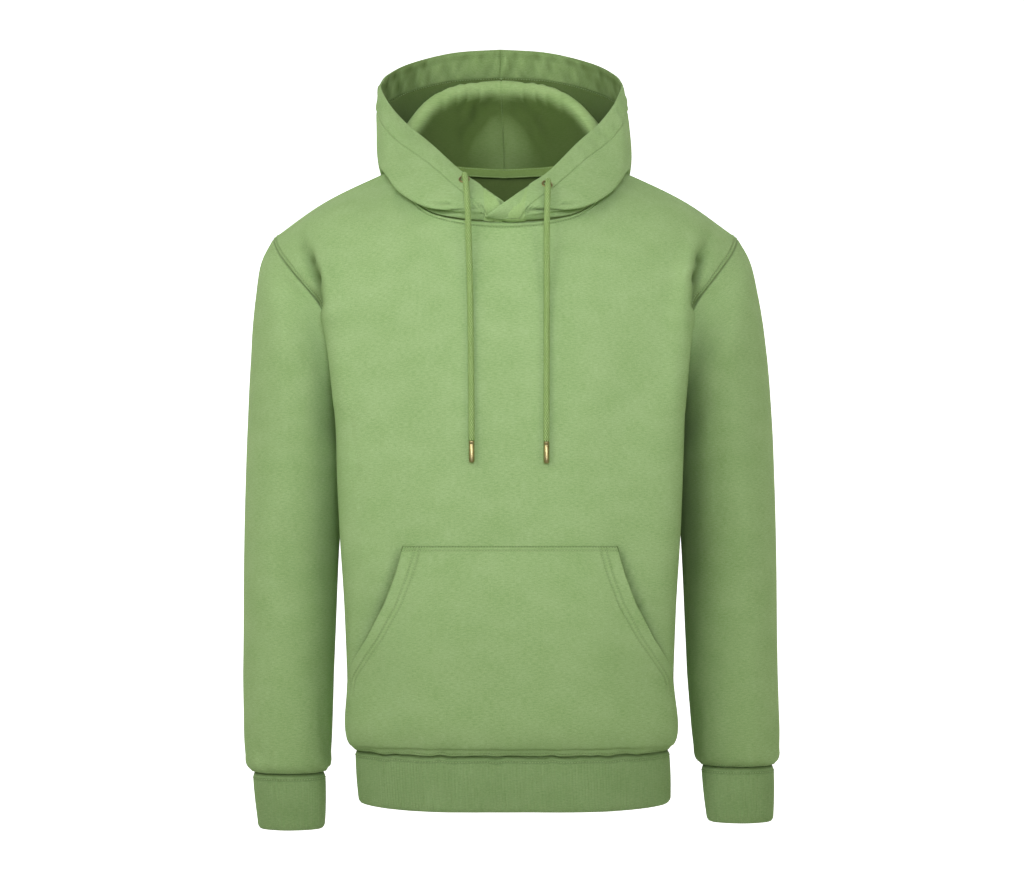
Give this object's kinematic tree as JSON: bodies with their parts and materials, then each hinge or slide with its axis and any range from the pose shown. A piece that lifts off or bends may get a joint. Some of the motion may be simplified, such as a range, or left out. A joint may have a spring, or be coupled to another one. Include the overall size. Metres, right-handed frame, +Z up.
{
  "type": "pullover hoodie",
  "caption": "Pullover hoodie in plain fleece, filled out and hollow, with crossover hood, drawcords, kangaroo pocket and ribbed cuffs and hem.",
  "frame": {"origin": "between the shoulders, at the height where they carry the garment", "axes": "+Z up, -Y towards the garment's front, +X towards the wearer's left"},
  "size_m": [0.6063, 0.2814, 0.8984],
  "materials": {
    "fleece": "soft matte fleece-back jersey with a fine horizontal heather",
    "rib": "matte rib knit",
    "tape": "matte jersey tape",
    "braid": "round cotton braid",
    "brass": "satin antique brass"
  },
  "bodies": {
    "root": {"body_front": "fleece", "body_back": "fleece", "sleeve_left": "fleece", "sleeve_right": "fleece", "pocket": "fleece", "hood_left": "fleece", "hood_right": "fleece", "cuff_left": "rib", "cuff_right": "rib", "hem_band": "rib", "neck_tape": "tape", "eyelet_left": "brass", "eyelet_right": "brass", "cord_left": "braid", "cord_right": "braid", "tip_left": "brass", "tip_right": "brass"}
  },
  "joints": []
}
